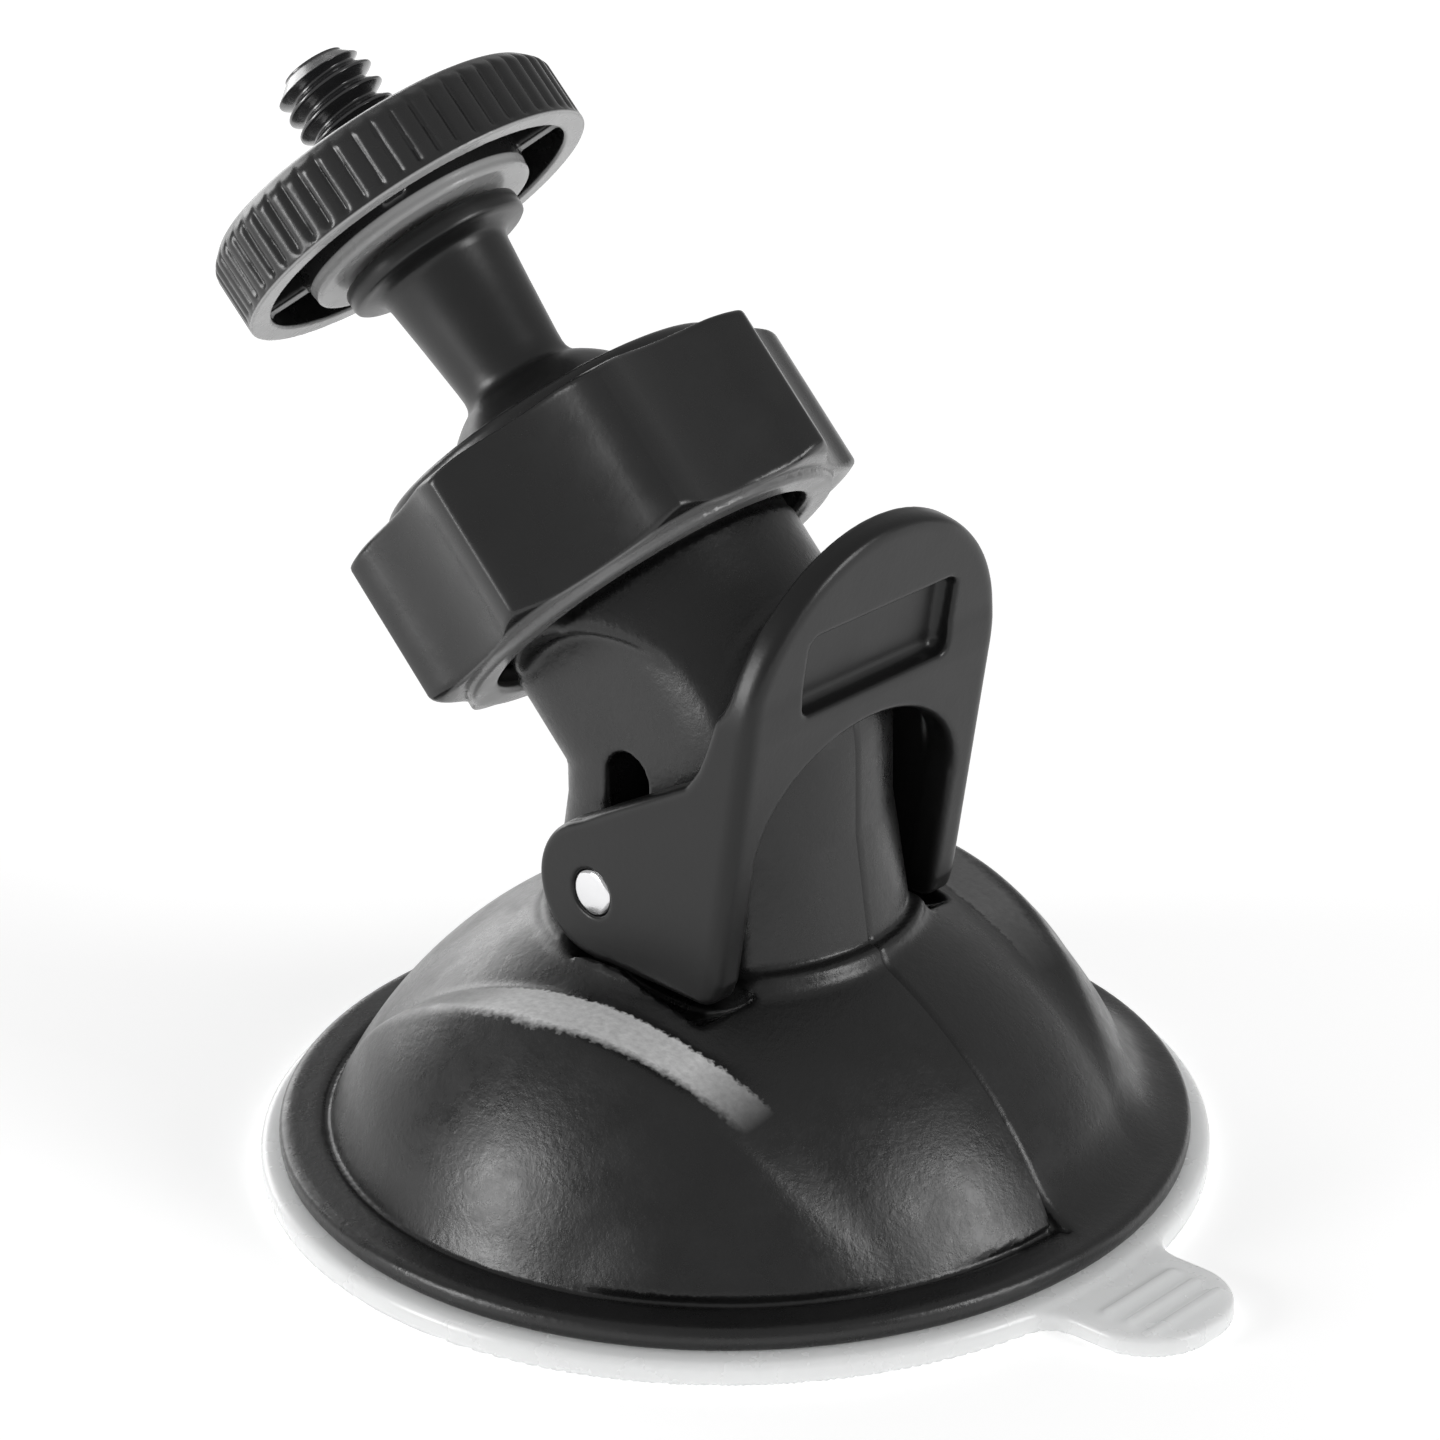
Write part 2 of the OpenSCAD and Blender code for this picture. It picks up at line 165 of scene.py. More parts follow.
def net(field, low, high, step):
    """Vertices and quads of the surface where field is zero, found block by block on a grid."""
    low = np.array(low, float) - step * GRID_SHIFT
    count = np.ceil((np.array(high, float) + step * 2 - low) / step).astype(int)
    blocks = -(-count // BLOCK)
    index = np.stack(np.meshgrid(*[np.arange(n) for n in blocks], indexing="ij"), -1).reshape(-1, 3)
    middle = low + (index + 0.5) * BLOCK * step
    reach = BLOCK * step * math.sqrt(3) / 2 * REACH_SPARE + step
    near = np.abs(field(tuple(middle.T))) < reach
    total = blocks * BLOCK + 2
    found = [block_net(field, low, step, start, total) for start in index[near] * BLOCK]
    keys, points, quads = (np.concatenate(part) for part in zip(*[f for f in found if f]))
    order = np.argsort(keys)
    place = np.clip(np.searchsorted(keys[order], quads), 0, len(keys) - 1)
    kept = (keys[order][place] == quads).all(1)
    return fit(field, points[order], step), place[kept]


def block_net(field, low, step, start, total):
    """One block's cells that the surface crosses: their keys, one point in each, and its quads."""
    steps = np.arange(BLOCK + 1)
    grid = np.stack(np.meshgrid(*[steps + s for s in start], indexing="ij"), -1)
    place = low + grid * step
    value = field((place[..., 0], place[..., 1], place[..., 2]))
    sign = value < 0
    if sign.all() or not sign.any():
        return None
    parts = [value[c[0]:BLOCK + c[0], c[1]:BLOCK + c[1], c[2]:BLOCK + c[2]] for c in CUBE]
    signs = np.stack(parts, -1) < 0
    cells = np.argwhere(signs.any(-1) & ~signs.all(-1))
    at = np.stack([part[tuple(cells.T)] for part in parts], -1)
    sums, hits = np.zeros((len(cells), 3)), np.zeros(len(cells))
    for a, b in EDGES:
        cut = (at[:, a] < 0) != (at[:, b] < 0)
        t = np.where(cut, at[:, a] / np.where(cut, at[:, a] - at[:, b], 1), 0)[:, None]
        sums += np.where(cut[:, None], CUBE[a] + (CUBE[b] - CUBE[a]) * t, 0)
        hits += cut

    def key(cell):
        return (cell[:, 0] * total[1] + cell[:, 1]) * total[2] + cell[:, 2]

    quads = []
    here = sign[:BLOCK, :BLOCK, :BLOCK]
    for axis in range(3):
        ahead = [slice(0, BLOCK)] * 3
        ahead[axis] = slice(1, BLOCK + 1)
        flip = here != sign[tuple(ahead)]
        one, two = WAYS[(axis + 1) % 3], WAYS[(axis + 2) % 3]
        for inward in (True, False):
            n = np.argwhere(flip & (here == inward)) + start
            around = [n, n - one, n - one - two, n - two]
            quads.append(np.stack([key(c) for c in around[::1 if inward else -1]], -1))
    cell = cells + start
    return key(cell), low + (cell + sums / hits[:, None]) * step, np.concatenate(quads)


def fit(field, points, step):
    """Moves points onto the surface, down the field's slope, at most half a cell at a time."""
    for _ in range(FIT_ROUNDS):
        value, slope = field_and_slope(field, points)
        move = value[:, None] * slope / np.maximum((slope ** 2).sum(1), LEAST_SLOPE)[:, None]
        size = np.linalg.norm(move, axis=1)[:, None]
        points = points - move * np.minimum(1, 0.5 * step / np.maximum(size, 1e-9))
    return points


def field_and_slope(field, points):
    slope = np.empty_like(points)
    for i in range(3):
        shift = np.zeros(3)
        shift[i] = SLOPE_STEP
        rise = field(tuple((points + shift).T)) - field(tuple((points - shift).T))
        slope[:, i] = rise / (2 * SLOPE_STEP)
    return field(tuple(points.T)), slope


def mesh_object(name, points, faces):
    """A new smooth mesh object from points in millimetres and an array or a list of faces."""
    mesh = bpy.data.meshes.new(name)
    if isinstance(faces, np.ndarray):
        sides = faces.shape[1]
        mesh.vertices.add(len(points))
        mesh.vertices.foreach_set("co", (points * MM).astype(np.float32).ravel())
        mesh.loops.add(faces.size)
        mesh.loops.foreach_set("vertex_index", faces.astype(np.int32).ravel())
        mesh.polygons.add(len(faces))
        mesh.polygons.foreach_set("loop_start", np.arange(0, faces.size, sides, dtype=np.int32))
        mesh.polygons.foreach_set("loop_total", np.full(len(faces), sides, np.int32))
        mesh.update(calc_edges=True)
    else:
        mesh.from_pydata([tuple(p * MM) for p in points], [], faces)
    mesh.validate()
    mesh.polygons.foreach_set("use_smooth", [True] * len(mesh.polygons))
    piece = bpy.data.objects.new(name, mesh)
    bpy.context.scene.collection.objects.link(piece)
    return piece


def lathe(name, profile, centre, axis, sides=128):
    """A turned piece: profile is a list of (out, along) points from one end to the other."""
    axis = np.array(axis, float)
    side = np.cross(axis, [0, 0, 1] if abs(axis[1]) > 0.9 else [0, 1, 0])
    side /= np.linalg.norm(side)
    other = np.cross(axis, side)
    turn = np.arange(sides) * 2 * math.pi / sides
    ways = np.cos(turn)[:, None] * side + np.sin(turn)[:, None] * other
    rings, points = [], []
    for out, up in profile:
        base = np.array(centre) + axis * up
        if out < 1e-6:
            rings.append([len(points)])
            points.append(base)
        else:
            rings.append(list(range(len(points), len(points) + sides)))
            points += list(base + out * ways)
    faces = []
    for a, b in zip(rings, rings[1:]):
        for i in range(sides):
            j = (i + 1) % sides
            if len(a) == 1 and len(b) > 1:
                faces.append([a[0], b[j], b[i]])
            elif len(b) == 1 and len(a) > 1:
                faces.append([a[i], a[j], b[0]])
            elif len(a) > 1:
                faces.append([a[i], a[j], b[j], b[i]])
    return mesh_object(name, np.array(points), faces)


# ---------------------------------------------------------------- base housing
# The last value of a soft_min, soft_max or slab is the size of its fillet or rounded edge.

FLANGE_R, FLANGE_LOW, FLANGE_HIGH = 28.85, 1.4, 2.95
FLANGE_FILLET, SUNK_LINE_R, FAR_FADE = 2.6, 0.3, 0.8
DOME_R, DOME_BALL_R, DOME_BALL_Z, WALL, ROOM_TOP = 25.5, 28.28, -9.28, 1.8, 12.6
APRON_X, APRON_ARCH_R, APRON_BALL_R, APRON_BALL_Z = 1.3, 24.8, 26.14, -3.5
APRON_IN, APRON_LEAN, APRON_SINK = 13.3, 0.05, 0.9
MELT_X, SINK_X = (8, 15), (10, 20)  # from where to where the aprons melt into the dome and sink
LEDGE_R, LEDGE_Z = 12.0, 17.3
NECK_R, NECK_ROOT_R, NECK_ROOT_Z, BEND_LOW_Z = 10.0, 11.0, 17.5, 24.5
HEAD_R, HEAD_LOW, HEAD_HIGH = 9.85, -8.6, 2.4
HEAD_TAPER, TAPER_LOW, TAPER_LEN = 0.5, -1.8, 4.2
THREAD_LOWS, THREAD_HALF, THREAD_OUT = (-6.9, -5.4, -3.9), 0.27, 0.9
FINGERS, GAP_HALF, GAP_LOW, GAP_IN = 6, 0.6, -2, 4
FLAT_Y = 8.0
ARCH_X, ARCH_Z, ARCH_R, OVER_LEDGE = -2.2, 28.5, 8.2, 0.2
POCKET_Y, CHEEK_ROOM = 11.6, 4.9
POCKET = [(-2.6, 14.8), (-0.6, 13.95), (1.6, 13.7), (3.6, 13.65), (5.4, 13.85), (7, 14.5),
          (8.3, 15.3), (9.2, 16.1), (9.7, 17.2), (9.9, 19.5), (-2.6, 19.5)]
BALL_R, SOCKET_R, SEAT_R, SEAT_LOW = 8.0, 8.06, 6.56, -9.65
SHAFT_R, SHAFT_TOP, WELL_R, WELL_TOP = 4.05, 32.4, 6.3, 16.5
SLOT_HALF, SLOT_TOP = 1.7, 29.2


def housing_field(p):
    x, y, z = p
    away = np.abs(y)
    s, out, u, v = about(p, NECK_AXIS)
    body = dome_and_aprons(x, away, z)
    body = soft_min(body, neck(x, y, z, s, out), 0.35)
    body = with_flange(body, y, z, np.hypot(x, y))
    body = soft_min(body, head(s, out, u, v), 0.15)
    # room beside the neck for the cheeks
    arch = np.minimum(np.hypot(x - ARCH_X, z - ARCH_Z) - ARCH_R,
                      np.maximum(z - ARCH_Z, LEDGE_Z + OVER_LEDGE - z))
    cut = soft_max(arch, FLAT_Y - away, 0.5)
    pocket = np.minimum(polygon2(x, z, POCKET), np.hypot(x - PIN_X, z - PIN_Z) - CHEEK_ROOM)
    pocket = soft_max(soft_max(pocket, FLAT_Y - away, 0.5), away - POCKET_Y, 0.2)
    body = soft_max(body, -cut, 1.3)
    body = soft_max(body, -pocket, 0.3)
    slot_z = np.clip(z, PIN_Z, SLOT_TOP - SLOT_HALF)
    slot = np.hypot(x - PIN_X, z - slot_z) - SLOT_HALF
    body = soft_max(body, -slot, 0.25)
    return np.maximum(body, -hollow(x, y, z, s, out))


def dome_and_aprons(x, away, z):
    """The dome with an arched apron on each side: a level barrel closed by a steeper ball."""
    dome = round_ball(x, away, z, DOME_BALL_Z, DOME_BALL_R)
    barrel = np.hypot(x - APRON_X, z - DOME_BALL_Z) - APRON_ARCH_R
    apron = soft_max(barrel, round_ball(x, away, z, APRON_BALL_Z, APRON_BALL_R), 0.4)
    # their inner walls melt into the dome in front
    melt = step_up(x, *MELT_X)
    apron = soft_max(apron, APRON_IN - APRON_LEAN * x - away, 0.3 + 3.5 * melt)
    apron = apron + APRON_SINK * step_up(x, *SINK_X)
    body = soft_min(dome, apron, 0.25 + 2.5 * melt)
    ledge = soft_max(np.hypot(x, away) - LEDGE_R, z - LEDGE_Z, 0.5)
    return soft_min(body, ledge, 0.8)


def neck(x, y, z, s, out):
    """Upright with a wider root, then an elbow, then leaning up to the head."""
    wider = np.clip((BEND_LOW_Z - z) / (BEND_LOW_Z - NECK_ROOT_Z), 0, 1)
    upright = np.hypot(x, y) - NECK_R - (NECK_ROOT_R - NECK_R) * wider
    upright = np.maximum(upright, z - BEND_Z)
    bend = np.dot([0, 0, BEND_Z] - BALL, NECK_AXIS)
    leaning = np.maximum(out - NECK_R, np.maximum(bend - s, s - HEAD_LOW))
    return np.minimum(np.minimum(upright, round_ball(x, y, z, BEND_Z, NECK_R)), leaning)


def with_flange(body, y, z, r):
    """Adds the flange: a sunk line round one half of the dome, a soft fillet round the other."""
    flange = soft_max(r - FLANGE_R, slab(z, FLANGE_LOW, FLANGE_HIGH, 0.4), 0.7)
    far = step_up(y, 0, FAR_FADE)
    body = soft_max(body, FLANGE_LOW - z, 0.3)
    body = (soft_min(body, flange, 0.2) * (1 - far)
            + soft_min(body, flange, FLANGE_FILLET) * far)
    line = SUNK_LINE_R - np.hypot(r - DOME_R - SUNK_LINE_R, z - FLANGE_HIGH)
    return soft_max(body, line - 3 * far, 0.12)


def head(s, out, u, v):
    """The split head in the ring, with its thread ridges, and slots between its fingers."""
    taper = HEAD_TAPER * np.clip((s - TAPER_LOW) / TAPER_LEN, 0, 1)
    shape = soft_max(out - HEAD_R + taper, s - HEAD_HIGH, 0.3)
    for low in THREAD_LOWS:
        ridge = np.abs(s - low - THREAD_HALF) - THREAD_HALF
        shape = soft_min(shape, soft_max(out - HEAD_R - THREAD_OUT, ridge, 0.3), 0.2)
    shape = np.maximum(shape, HEAD_LOW - 2 - s)
    step = 2 * math.pi / FINGERS
    turn = np.arctan2(v, u) + step / 2
    turn = turn - np.round(turn / step) * step
    gap = np.maximum(np.abs(np.hypot(u, v) * np.sin(turn)) - GAP_HALF, GAP_LOW - s)
    return np.maximum(shape, -np.maximum(gap, GAP_IN - np.hypot(u, v)))


def hollow(x, y, z, s, out):
    """The room under the dome, the shaft, the spring's well, the ball's socket and its seat."""
    room = np.maximum(round_ball(x, y, z, DOME_BALL_Z, DOME_BALL_R - WALL), z - ROOM_TOP)
    off = np.hypot(x - PIN_X, y)
    shaft = np.maximum(off - SHAFT_R, z - SHAFT_TOP)
    well = np.maximum(off - WELL_R, z - WELL_TOP)
    socket = np.hypot(out, s) - SOCKET_R
    seat = np.maximum(out - SEAT_R, np.maximum(SEAT_LOW - s, s))
    return np.minimum.reduce([room, shaft, well, socket, seat])


PROUD, PROUD_LOW, PROUD_FADE, PROUD_RISE = 0.2, 0.4, 8.0, 9.0
SUNK, SUNK_FADE = 0.42, 0.5
FRONT_X, FRONT_UP, FRONT_IN, FRONT_DEEP = 5, 0.05, 0.5, 0.6  # where the open front begins
ON_SEAM = 1e-7  # metres


def bare_front(v):
    """Whether a vertex of the housing lies on the open front of the dome or the neck."""
    x, y, z = v.co / MM
    across = x * NECK_AXIS[2] - (z - BEND_Z) * NECK_AXIS[0]
    on_neck = max(math.hypot(x, y), math.hypot(across, y)) > NECK_R - FRONT_IN
    on_dome = round_ball(x, y, z, DOME_BALL_Z, DOME_BALL_R) > -FRONT_DEEP
    return x > FRONT_X and z > FLANGE_HIGH + FRONT_UP and on_neck and on_dome


def raise_near_half(piece):
    """The mould halves meet in front, the near one proud: a cut along Y = 0 with a low wall."""
    mesh = bmesh.new()
    mesh.from_mesh(piece.data)
    bmesh.ops.bisect_plane(mesh, geom=mesh.verts[:] + mesh.edges[:] + mesh.faces[:], dist=1e-8,
                           plane_co=(0, 0, 0), plane_no=(0, 1, 0))
    mesh.normal_update()
    normals = {tuple(v.co): v.normal.copy() for v in mesh.verts if bare_front(v)}

    def on_seam(v):
        return abs(v.co.y) < ON_SEAM and tuple(v.co) in normals

    bmesh.ops.split_edges(mesh, edges=[e for e in mesh.edges if all(map(on_seam, e.verts))])
    near, far = {}, {}
    for v in filter(on_seam, mesh.verts):
        for face in v.link_faces:
            (near if face.calc_center_median().y < 0 else far)[tuple(v.co)] = v
    rim = [e for e in mesh.edges
           if len(e.link_faces) == 1 and all(near.get(tuple(v.co)) is v for v in e.verts)]
    for e in rim:
        a, b = e.verts
        around = [a, b] + [far[tuple(v.co)] for v in (b, a)]
        wall = mesh.faces.new(list(dict.fromkeys(around)))
        for side in wall.edges:
            side.smooth = False

    def split_to(v, side, other):
        return side.get(tuple(v.co)) is v and other.get(tuple(v.co)) is not v

    for v in [v for v in mesh.verts if tuple(v.co) in normals]:
        normal, y, z = normals[tuple(v.co)], v.co.y / MM, v.co.z / MM
        if y > -PROUD_FADE and (v.co.y < -ON_SEAM or split_to(v, near, far)):
            proud = PROUD_LOW + (PROUD - PROUD_LOW) * min(1, (z - FLANGE_HIGH) / PROUD_RISE)
            v.co += normal * proud * step_up(y, -PROUD_FADE, 0) * MM
        elif y < SUNK_FADE and (v.co.y > ON_SEAM or split_to(v, far, near)):
            v.co -= normal * SUNK * (1 - y / SUNK_FADE) * MM
    bmesh.ops.recalc_face_normals(mesh, faces=mesh.faces[:])
    mesh.to_mesh(piece.data)
    mesh.free()
    return piece


def housing():
    points, faces = net(housing_field, HOUSING_LOW, HOUSING_HIGH, 0.3)
    return raise_near_half(mesh_object("housing_shell", points, faces))


# ---------------------------------------------------------------- lever

LEVER_OUT, LEVER_T = 11.33, 2.4
LEVER_IN = LEVER_OUT - LEVER_T
HANDLE_X, HANDLE_Z, HANDLE_LEAN, HANDLE_LEN = 9.0, 17.5, math.radians(10), 28.3
CHEEK_R, PIN_HOLE_R = 4.5, 1.55
CHEEK = [(PIN_X, 16.55), (8.75, 16.4), (9.0, 17.5), (11.9, 34), (11.4, 35.5), (9.4, 35.2),
         (8.55, 33.4), (7.7, 31.8), (6.6, 30.5), (-0.4, 26.7), (PIN_X - 2.1, 25.0)]
WINDOW_UP, WINDOW_RISE, WINDOW_SLOPE = 8, 7.2, 0.85  # where the window's arch starts, its height
BADGE_UP, BADGE_HALF, BADGE_CORNER, BADGE_DEEP = 20.15, (6.6, 2.65), 0.8, 1.5
RELIEF_ROOM, RELIEF_TOP, RELIEF_Y = 0.4, 34, 6


def lever_field(p):
    x, y, z = p
    away = np.abs(y)
    # across and along the handle: depth is positive in front of its outer face
    dx, dz = x - HANDLE_X, z - HANDLE_Z
    depth = dx * math.cos(HANDLE_LEAN) - dz * math.sin(HANDLE_LEAN)
    up = dx * math.sin(HANDLE_LEAN) + dz * math.cos(HANDLE_LEAN)
    round_pin = np.hypot(x - PIN_X, z - PIN_Z)
    cheek = soft_min(polygon2(x, z, CHEEK), round_pin - CHEEK_R, 0.3)
    cheek = soft_max(cheek, depth, 1.0)
    strip = np.maximum(slab(depth, -LEVER_T, 0, 0.3), -up)
    side = soft_min(cheek, strip, 2.2)
    past = up - (HANDLE_LEN - LEVER_OUT)
    top = np.where(past > 0, np.hypot(y, past), away) - LEVER_OUT
    outer = soft_max(soft_max(side, top, 0.6), depth, 1.4)
    # the space between the cheeks and behind the handle, and the arched window
    behind = soft_max(away - LEVER_IN, depth + LEVER_T, 1.0)
    rise = np.maximum(up - WINDOW_UP, 0) * (LEVER_IN / WINDOW_RISE)
    window = (np.hypot(y, rise) - LEVER_IN) * np.where(up > WINDOW_UP, WINDOW_SLOPE, 1)
    shape = soft_max(outer, -behind, 0.5)
    shape = soft_max(shape, -window, 0.55)
    badge = soft_max(box2(y, up - BADGE_UP, *BADGE_HALF, BADGE_CORNER), -BADGE_DEEP - depth, 0.8)
    shape = soft_max(shape, -badge, 0.3)
    # room for the neck over the window
    relief = np.maximum(np.hypot(x, y) - NECK_R - RELIEF_ROOM,
                        np.maximum(z - RELIEF_TOP, away - RELIEF_Y))
    shape = soft_max(shape, -relief, 0.3)
    return soft_max(shape, PIN_HOLE_R - round_pin, 0.15)


def lever():
    return mesh_object("lever_moulding", *net(lever_field, LEVER_LOW, LEVER_HIGH, 0.18))


# ---------------------------------------------------------------- ring and thumbwheel

RING_CORNER, RING_FACE, RING_CUT_R, RING_SIDES, RING_TURN = 15.6, 13.5, 13.0, 8, math.radians(17)
RING_LOW, RING_HIGH, RIM_HIGH, RIM_R, MOUTH_R = -8.0, 2.6, 3.7, 12.0, 8.5
LIP_IN, LIP_DOWN = 0.4, 0.5
BEVEL_IN, BEVEL_DOWN = 1.2, 0.5
BORE = (-20, -2.2, -1.8, 2.8, 2.9, 20), (11.1, 11.1, 10.5, 9.9, MOUTH_R, MOUTH_R)


def ring_field(p):
    s, out, u, v = about(p, NECK_AXIS)
    step = 2 * math.pi / RING_SIDES
    turn = (np.arctan2(-v, -u) - RING_TURN) / step
    turn = np.abs((turn - np.floor(turn) - 0.5) * step)
    hollow_face = RING_CUT_R - np.hypot(out * np.cos(turn) - RING_CUT_R - RING_FACE,
                                        out * np.sin(turn))
    grip = soft_max(out - RING_CORNER, hollow_face, 1.0)
    past_end = np.maximum(s - RING_HIGH, RING_LOW - s)
    bevel = (out - RING_CORNER + BEVEL_IN) * BEVEL_DOWN + past_end * BEVEL_IN
    bevel = bevel / math.hypot(BEVEL_IN, BEVEL_DOWN)
    grip = soft_max(soft_max(grip, slab(s, RING_LOW, RING_HIGH, 0.3), 0.4), bevel, 0.3)
    rim = soft_max(out - RIM_R, slab(s, RING_LOW, RIM_HIGH, 0.3), 0.7)
    lip = soft_max(out - RING_FACE + LIP_IN, slab(s, RING_LOW - LIP_DOWN, RING_HIGH, 0.3), 0.4)
    shape = soft_min(np.minimum(grip, lip), rim, 0.3)
    return soft_max(shape, np.interp(s, *BORE) - out, 0.4)


def ring():
    reach = RING_CORNER + 1
    return mesh_object("locking_ring_grip", *net(ring_field, BALL - reach, BALL + reach, 0.2))


WHEEL_R, WHEEL_LOW, WHEEL_TOP, WHEEL_WALL, WEB_LOW = 12.3, 18.8, 24.1, 1.5, 22.4
WHEEL_HUB_R, HUB_LOW, HUB_SUNK, WHEEL_BORE_R = 7.77, 18.05, 0.6, 3.2
WHEEL_RIBS, RIB_DEEP, RIB_SHARP, WHEEL_CHAMFER = 56, 0.32, 1.5, 1.05
RIB_LOW, RIB_FULL = 0.2, 0.8                # above the wheel's lower edge
SPOKE_HALF, SPOKE_UP = 0.8, 0.6
WHEEL_MIDDLE, WHEEL_REACH = 21, 13.5
SLANT = 0.707                               # turns a sum of two steps into a distance at 45 degrees


def wheel_field(p):
    s, out, u, v = about(p, STUD_AXIS)
    rib = np.abs(np.sin(np.arctan2(v, u) * WHEEL_RIBS / 2))
    deep = RIB_DEEP * step_up(s, WHEEL_LOW + RIB_LOW, WHEEL_LOW + RIB_FULL)
    rim = (out - WHEEL_R + deep * (1 - rib) ** RIB_SHARP) * 0.85
    rim = soft_max(rim, slab(s, WHEEL_LOW, WHEEL_TOP, 0.2), 0.15)
    rim = soft_max(rim, (out + s - WHEEL_R - WHEEL_TOP + WHEEL_CHAMFER) * SLANT, 0.3)
    hub = soft_max(out - WHEEL_HUB_R, slab(s, HUB_LOW, WHEEL_TOP - HUB_SUNK, 0.2), 0.3)
    pocket = np.maximum(slab(out, WHEEL_HUB_R, WHEEL_R - WHEEL_WALL, 0.2), s - WEB_LOW)
    spoke = np.minimum(np.abs(u + v), np.abs(u - v)) * SLANT - SPOKE_HALF
    pocket = soft_max(pocket, -soft_max(spoke, WHEEL_LOW + SPOKE_UP - s, 0.3), 0.3)
    shape = soft_min(soft_max(rim, -pocket, 0.15), hub, 0.25)
    return soft_max(shape, WHEEL_BORE_R - out, 0.3)


def wheel():
    middle = BALL + STUD_AXIS * WHEEL_MIDDLE
    points, faces = net(wheel_field, middle - WHEEL_REACH, middle + WHEEL_REACH, 0.16)
    return mesh_object("thumbwheel_ribbed", points, faces)


# ---------------------------------------------------------------- ball stud and camera screw

BALL_END, BALL_POINTS = math.pi - 0.52, 60
STEM = [(3.78, 7.2), (3.66, 7.5), (3.62, 7.9), (3.66, 8.6), (4.0, 12.2), (4.32, 15.2), (4.45, 15.7),
        (4.8, 16.0), (5.6, 16.15), (6.0, 16.22), (6.14, 16.32), (6.2, 16.5), (6.2, 17.3),
        (6.14, 17.48), (6.0, 17.58), (5.7, 17.6), (0, 17.6)]


def stud():
    """A ball, a stem that widens upward, and a thin collar."""
    ball = [(BALL_R * math.sin(a), -BALL_R * math.cos(a))
            for a in np.linspace(0, BALL_END, BALL_POINTS)]
    return lathe("stud_body", ball + STEM, BALL, STUD_AXIS, 160)


SCREW_R, SCREW_CORE_R, SCREW_END_R, PITCH = 3.175, 2.42, 2.05, 1.27
SCREW_LOW, SCREW_TIP, END_FLAT, END_SLOPE = 21.9, 31.1, 0.12, 1.15
FLANK, ROOT_FLAT, FLANK_ROUND = 2.5, 0.12, 0.35
SCREW_SIDES, SCREW_ROWS = 96, 260


def screw():
    """Thread of the real pitch wound on its core, with its start and its rounded tip."""
    across, other = across_of(STUD_AXIS)
    turn = np.arange(SCREW_SIDES) * 2 * math.pi / SCREW_SIDES
    ways = np.cos(turn)[:, None] * across + np.sin(turn)[:, None] * other
    points = []
    for s in np.linspace(SCREW_LOW, SCREW_TIP, SCREW_ROWS):
        phase = (s / PITCH - turn / (2 * math.pi)) % 1
        ridge = np.clip((0.5 - np.abs(phase - 0.5)) * FLANK - ROOT_FLAT, 0, 1)
        ridge = step_up(ridge, 0, 1) * FLANK_ROUND + ridge * (1 - FLANK_ROUND)
        r = SCREW_CORE_R + (SCREW_R - SCREW_CORE_R) * ridge
        r = np.minimum(r, SCREW_END_R + max(0, SCREW_TIP - END_FLAT - s) * END_SLOPE)
        points.append(BALL + STUD_AXIS * s + r[:, None] * ways)
    points.append([BALL + STUD_AXIS * SCREW_TIP, BALL + STUD_AXIS * SCREW_LOW])
    last, top = (SCREW_ROWS - 1) * SCREW_SIDES, SCREW_ROWS * SCREW_SIDES
    faces = []
    for k in range(SCREW_SIDES):
        n = (k + 1) % SCREW_SIDES
        for row in range(0, last, SCREW_SIDES):
            faces.append([row + k, row + n, row + SCREW_SIDES + n, row + SCREW_SIDES + k])
        faces += [[last + k, last + n, top], [n, k, top + 1]]
    return mesh_object("screw_thread", np.concatenate(points), faces)


# ---------------------------------------------------------------- suction pad, pin and spring

PAD_R, PAD_RIM, PAD_MID = 30.0, 1.4, 3.0
PAD_TOP = (0, 12, 22, 40), (PAD_MID, PAD_MID, PAD_RIM, PAD_RIM)
TAB_HALF, TAB_ROOT, TAB_TIP, TAB_CORNER, TAB_T = 5.0, 24.0, 38.0, 4.4, 1.2
TAB_RIBS, TAB_RIB_X, TAB_RIB_STEP, TAB_RIB_Z, TAB_RIB_R, TAB_RIB_HALF = 3, 2.6, 1.7, 1.15, 0.38, 3.5


def pad_field(p):
    x, y, z = p
    r = np.hypot(x, y)
    top = np.interp(r, *PAD_TOP)
    disc = soft_max(soft_max(r - PAD_R, (z - top) * 0.98, 0.5), -z, 0.25)
    tab = box2(x - (TAB_TIP + TAB_ROOT) / 2, y, (TAB_TIP - TAB_ROOT) / 2, TAB_HALF, TAB_CORNER)
    outline = soft_min(r - PAD_R, tab, 2.2)
    tab = soft_max(soft_max(outline, z - TAB_T, 0.3), -z, 0.2)
    shape = soft_min(disc, tab, 0.3)
    for i in range(TAB_RIBS):
        rib = np.hypot(x - PAD_R - TAB_RIB_X - TAB_RIB_STEP * i, z - TAB_RIB_Z) - TAB_RIB_R
        shape = soft_min(shape, soft_max(rib, np.abs(y) - TAB_RIB_HALF, 0.5), 0.3)
    return shape


def pad():
    points, faces = net(pad_field, PAD_LOW, PAD_HIGH + [0, 0, 0.2], 0.3)
    points[:, 2] = np.maximum(points[:, 2], 0)
    return mesh_object("pad_clear", points, faces)


PIN_R, PIN_END = 1.5, 11.32


def pin():
    """A plain rod with rounded ends."""
    end = [(0, 0), (PIN_R - 0.3, 0), (PIN_R - 0.08, 0.06), (PIN_R, 0.2)]
    profile = [(r, -PIN_END + up) for r, up in end] + [(r, PIN_END - up) for r, up in end[::-1]]
    return lathe("pin_polished", profile, [PIN_X, 0, PIN_Z], [0, 1, 0], 96)


